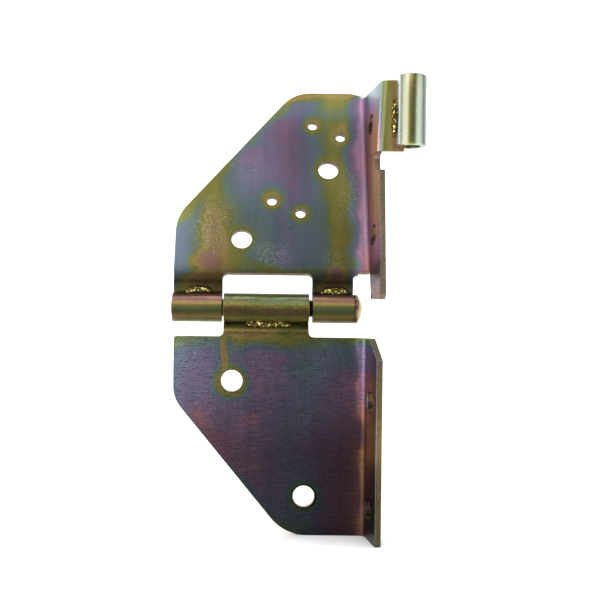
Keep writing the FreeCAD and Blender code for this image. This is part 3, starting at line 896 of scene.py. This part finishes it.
def turned_finish(name, along, span, film, stain_and_painted_light, bare_and_painted_highlight):
    """Chromate on a round part, from curves over X between the ends of the span; on the barrel
    they paint reflections and highlights, on the pin painted shade along the shank.
    """
    material, tree, shader, point = coated(name)
    drift_out = place(tree, drift, Point=point, Scale=45.0, Streak=300.0)
    steady = put(tree, "ShaderNodeMix", {0: 0.10, 4: point, 5: drift_out["Point"]},
                 data_type="VECTOR").outputs[1]
    across = put(tree, "ShaderNodeSeparateXYZ", {0: steady}).outputs[0]
    value = curve_over(tree, across, *span, film)
    value = math_node(tree, "MULTIPLY_ADD", about_half(tree, drift_out["Cloud"]), 0.22, value)
    strength = curve_over(tree, across, *span, stain_and_painted_light)
    grain_out = place(tree, grain, Point=point, Along=along, Fineness=900.0, Pit_Size=0.15)
    value = math_node(tree, "MULTIPLY_ADD", about_half(tree, grain_out["Lines"]), 0.12, value,
                      clamp=True)
    colour = place(tree, tint, Film=value, Depth=strength)[0]
    colour = blend_colour(tree, curve_over(tree, across, *span, bare_and_painted_highlight), colour, PALE_ZINC_AND_HIGHLIGHT)
    colour = blend_colour(tree, math_node(tree, "MULTIPLY", grain_out["Pits"], 0.6), colour,
                          PIT_TONE)
    tree.links.new(colour, shader.inputs["Base Color"])
    tree.links.new(math_node(tree, "MULTIPLY_ADD", grain_out["Lines"], 0.18, 0.20),
                   shader.inputs["Roughness"])
    link_bump(tree, shader, grain_out["Height"], 0.4, 0.04 * MM)
    return material


# %% Pin and barrel
pin_look = turned_finish(
    "pin chromate", (6.0, 0.5, 0.5), (-42, 45),
    film=[(-42, .20), (-40, .22), (20, .10), (38, .06), (41.2, .04), (41.9, .18), (45, .19)],
    # the low stain along the shank is painted shade where it shows between the knuckles
    stain_and_painted_light=[(-42, .7), (-38, .5), (20, .2), (38, .3), (41.2, .45), (41.9, 1.0), (45, 1.0)],
    bare_and_painted_highlight=[(-42, 0), (41, 0), (42.5, .25), (45, .45)])
barrel_look = turned_finish(
    "barrel chromate", (0.6, 0.6, 5.0), (57, 73),
    # across the barrel these curves are painted reflections: coloured bands, a lighter left edge
    # and pale highlight stripes
    film=[(57, .66), (58.8, .64), (59.8, .46), (61, .27), (62.6, .19), (64, .23), (65.5, .31),
          (67, .36), (68.3, .40), (69.7, .50), (71, .64), (73, .66)],
    stain_and_painted_light=[(57, 2.4), (58.4, 2.2), (59.4, 1.1), (61, 1.0), (73, 1.0)],
    bare_and_painted_highlight=[(57, .35), (59.6, .40), (60.8, .62), (62.4, .50), (63.6, .10), (65, .05),
          (66.4, .40), (67.6, .60), (69, .35), (73, .30)])
pin.data.materials.append(pin_look)
barrel.data.materials.append(barrel_look)
print("turned parts coated", pin_look.name, barrel_look.name)

# %% Weld metal
weld_look, tree, shader, point = coated("burnt weld chromate")
lumps = noise_at(tree, point, 300.0, 4.0, 0.7).outputs[0]
fine = noise_at(tree, point, 1000.0, 2.0, 0.5).outputs[0]
film_here = put(tree, "ShaderNodeMapRange", {"Value": lumps, "From Min": 0.35, "From Max": 0.65,
                                             "To Min": 0.08, "To Max": 0.30}).outputs[0]
# bright spots on a fine noise are painted glints on the dark weld
painted_glints_on_burnt_weld = math_node(tree, "MULTIPLY_ADD", fade(tree, fine, 0.64, 0.54), 2.5, 0.18)
colour = place(tree, tint, Film=film_here, Depth=painted_glints_on_burnt_weld)[0]
tree.links.new(colour, shader.inputs["Base Color"])
tree.links.new(math_node(tree, "MULTIPLY_ADD", lumps, 0.4, 0.12), shader.inputs["Roughness"])
link_bump(tree, shader, math_node(tree, "ADD", lumps, fine), 0.8, 0.18 * MM)
for bead in beads:
    bead.data.materials.append(weld_look)
print("materials", [m.name for m in bpy.data.materials])

# %% [markdown]
# ## The studio
# A pale floor sweeps up into a pale wall.  The upper leaf leans back, so what it mirrors is
# a softbox high in front.  The lower leaf stands square to the camera and mirrors the dim
# room behind the camera, which is why it reads so much darker than the upper one; its
# stain also paints it darker, as painted shade.

# %% Floor and wall in one sweep
floor_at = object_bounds()[0][2]
sweep_mesh = bmesh.new()
WIDE, FRONT_EDGE, CURVE_FROM, CURVE, TALL = 9.0, -4.0, 0.42, 0.40, 3.0      # metres
SWEEP = [(FRONT_EDGE, 0.0), (CURVE_FROM, 0.0)]
for step in range(1, 11):
    turn = math.radians(9 * step)
    SWEEP.append((CURVE_FROM + CURVE * math.sin(turn), CURVE - CURVE * math.cos(turn)))
SWEEP += [(CURVE_FROM + CURVE, TALL)]
line = [sweep_mesh.verts.new((-WIDE / 2, y, floor_at + z)) for y, z in SWEEP]
strips = [sweep_mesh.edges.new(pair) for pair in zip(line, line[1:])]
made = bmesh.ops.extrude_edge_only(sweep_mesh, edges=strips)["geom"]
bmesh.ops.translate(sweep_mesh, vec=(WIDE, 0, 0),
                    verts=[g for g in made if isinstance(g, bmesh.types.BMVert)])
bmesh.ops.recalc_face_normals(sweep_mesh, faces=sweep_mesh.faces)
sweep_data = bpy.data.meshes.new("studio_sweep")
sweep_mesh.to_mesh(sweep_data)
sweep_mesh.free()
sweep_data.shade_smooth()
sweep = bpy.data.objects.new("studio_sweep", sweep_data)
bpy.context.scene.collection.objects.link(sweep)
paper = bpy.data.materials.new("white paper")
paper.use_nodes = True
paper_shader = paper.node_tree.nodes["Principled BSDF"]
paper_shader.inputs["Base Color"].default_value = (0.9, 0.9, 0.9, 1)
paper_shader.inputs["Roughness"].default_value = 0.9
sweep_data.materials.append(paper)
print("sweep", WIDE, "m wide, floor at", floor_at)


# %% Softboxes
def softbox(name, place_at, aim, wide, tall, power):
    """A white rectangular area light, in metres and watts, turned to face its aim."""
    light = bpy.data.lights.new(name, "AREA")
    light.shape, light.size, light.size_y = "RECTANGLE", wide, tall
    light.energy = power
    lamp = bpy.data.objects.new(name, light)
    lamp.location = place_at
    lamp.rotation_euler = (Vector(aim) - Vector(place_at)).to_track_quat("-Z", "Y").to_euler()
    bpy.context.scene.collection.objects.link(lamp)


softbox("high front box", (-0.14, -0.62, 0.62), (0, 0, 0.05), 0.75, 0.5, 2.2)
softbox("left box", (-0.60, -0.56, 0.12), (0, 0, 0.02), 0.80, 0.9, 3.3)
softbox("left rear box", (-0.74, 0.30, 0.12), (0, 0, 0.02), 0.60, 0.8, 3.0)
softbox("right box", (0.74, -0.42, 0.12), (0, 0, 0.02), 0.90, 0.8, 3.2)
softbox("wall wash", (0, 0.10, 1.35), (0, 0.8, 0.25), 2.4, 0.4, 12.0)
bpy.context.scene.view_settings.view_transform = "Standard"
print("softboxes", len(bpy.data.lights))

# %% A pale room that the metal sees as dim
DIM_ROOM, PALE_ROOM = (0.08, 0.08, 0.08, 1), (0.93, 0.93, 0.93, 1)
world = bpy.data.worlds.new("studio")
bpy.context.scene.world = world
world.use_nodes = True
room = world.node_tree
mirrored = put(room, "ShaderNodeLightPath").outputs["Is Glossy Ray"]
room.links.new(blend_colour(room, mirrored, PALE_ROOM, DIM_ROOM),
               room.nodes["Background"].inputs[0])

# %% Camera, level with the pin and square to the lower leaf
CAMERA_AT = (-0.00094, -0.38802, 0.00356)
LENS, SHIFT, ROLLED = 52.2, 0.0645, -0.7               # mm, share of the frame, degrees
camera_data = bpy.data.cameras.new("camera")
camera_data.sensor_width, camera_data.lens, camera_data.shift_x = 36.0, LENS, SHIFT
camera = bpy.data.objects.new("camera", camera_data)
camera.location = CAMERA_AT
camera.rotation_euler = (math.radians(90), math.radians(ROLLED), 0)
bpy.context.scene.collection.objects.link(camera)
bpy.context.scene.camera = camera
print("camera", -CAMERA_AT[1], "m from the pin")
